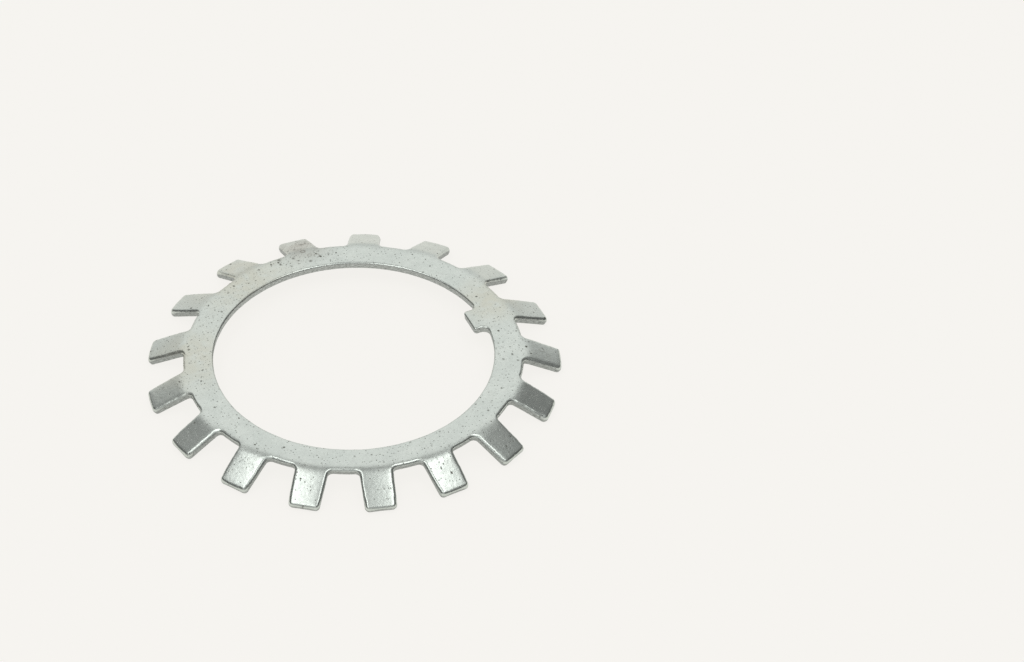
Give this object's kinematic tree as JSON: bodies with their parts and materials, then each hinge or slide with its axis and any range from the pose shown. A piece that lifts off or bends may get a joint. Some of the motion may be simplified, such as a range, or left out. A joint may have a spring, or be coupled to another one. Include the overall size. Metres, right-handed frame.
{
  "type": "lock washer",
  "caption": "Flat sheet-metal ring with a key in its bore and outer tabs bent to one side, which locks a slotted nut on a shaft.",
  "frame": {"origin": "on the axis of the bore, in the plane on which the tips of the tabs rest", "axes": "+Z along the bore's axis towards the flat ring, away from the side that the tabs are bent to; +X through the inner key"},
  "size_m": [0.0812, 0.0814, 0.005],
  "materials": {
    "plated_steel": "satin zinc plating, finely speckled, with faint stains"
  },
  "bodies": {
    "root": {"lock_washer": "plated_steel"}
  },
  "joints": []
}
